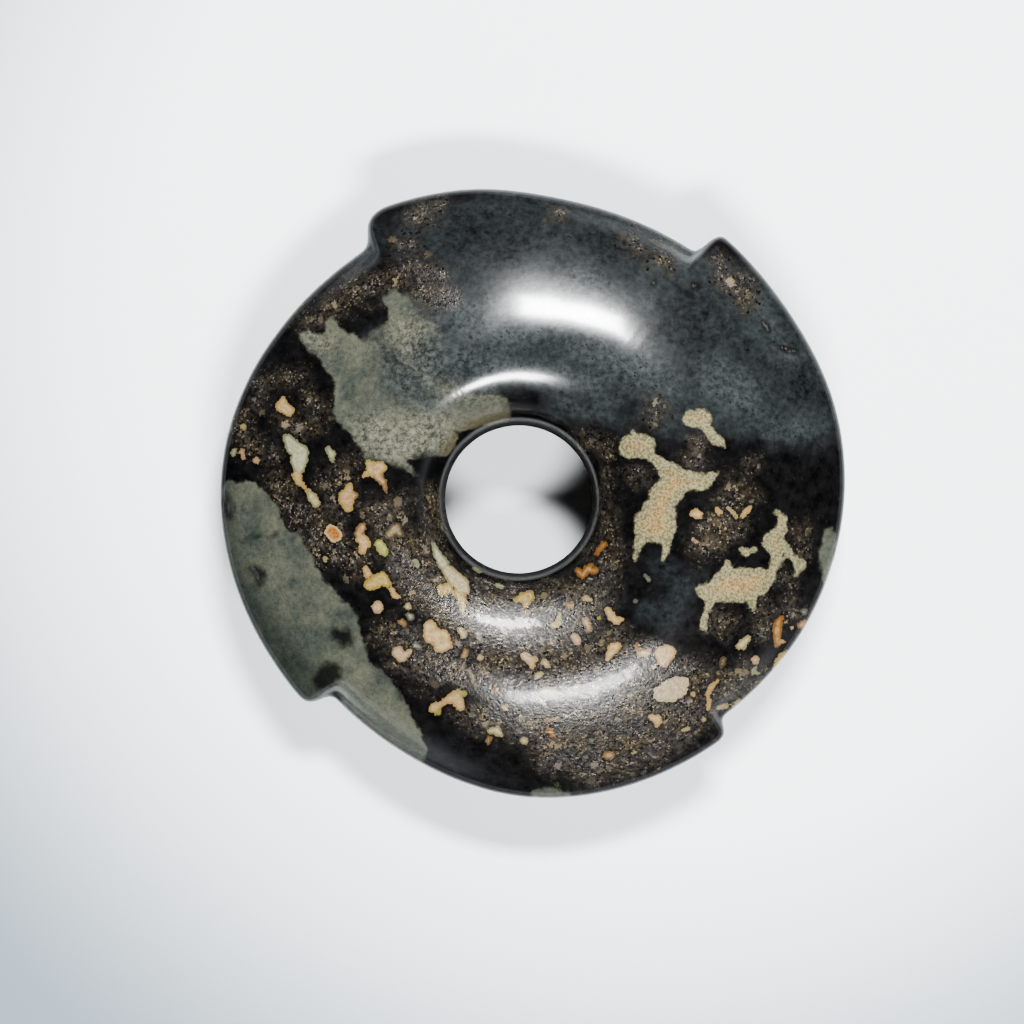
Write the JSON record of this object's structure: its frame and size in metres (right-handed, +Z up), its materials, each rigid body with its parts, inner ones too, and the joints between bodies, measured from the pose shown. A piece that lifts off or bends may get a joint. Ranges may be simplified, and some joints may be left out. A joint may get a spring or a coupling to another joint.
{
  "type": "jade bi disc",
  "caption": "Thick domed disc of polished dark mottled jade, with a drilled hole through its middle and hooked teeth notched round its outer edge.",
  "frame": {"origin": "on the surface that the disc rests on, under the middle of its outline", "axes": "+Z up, through the disc's thickness; +X along the longer way across the notched outline"},
  "size_m": [0.1498, 0.1458, 0.0338],
  "materials": {
    "mottled_jade": "polished, mottled from dark blue-green to sage, black and grained brown with peach inclusions"
  },
  "bodies": {
    "root": {"bi_disc": "mottled_jade"}
  },
  "joints": []
}
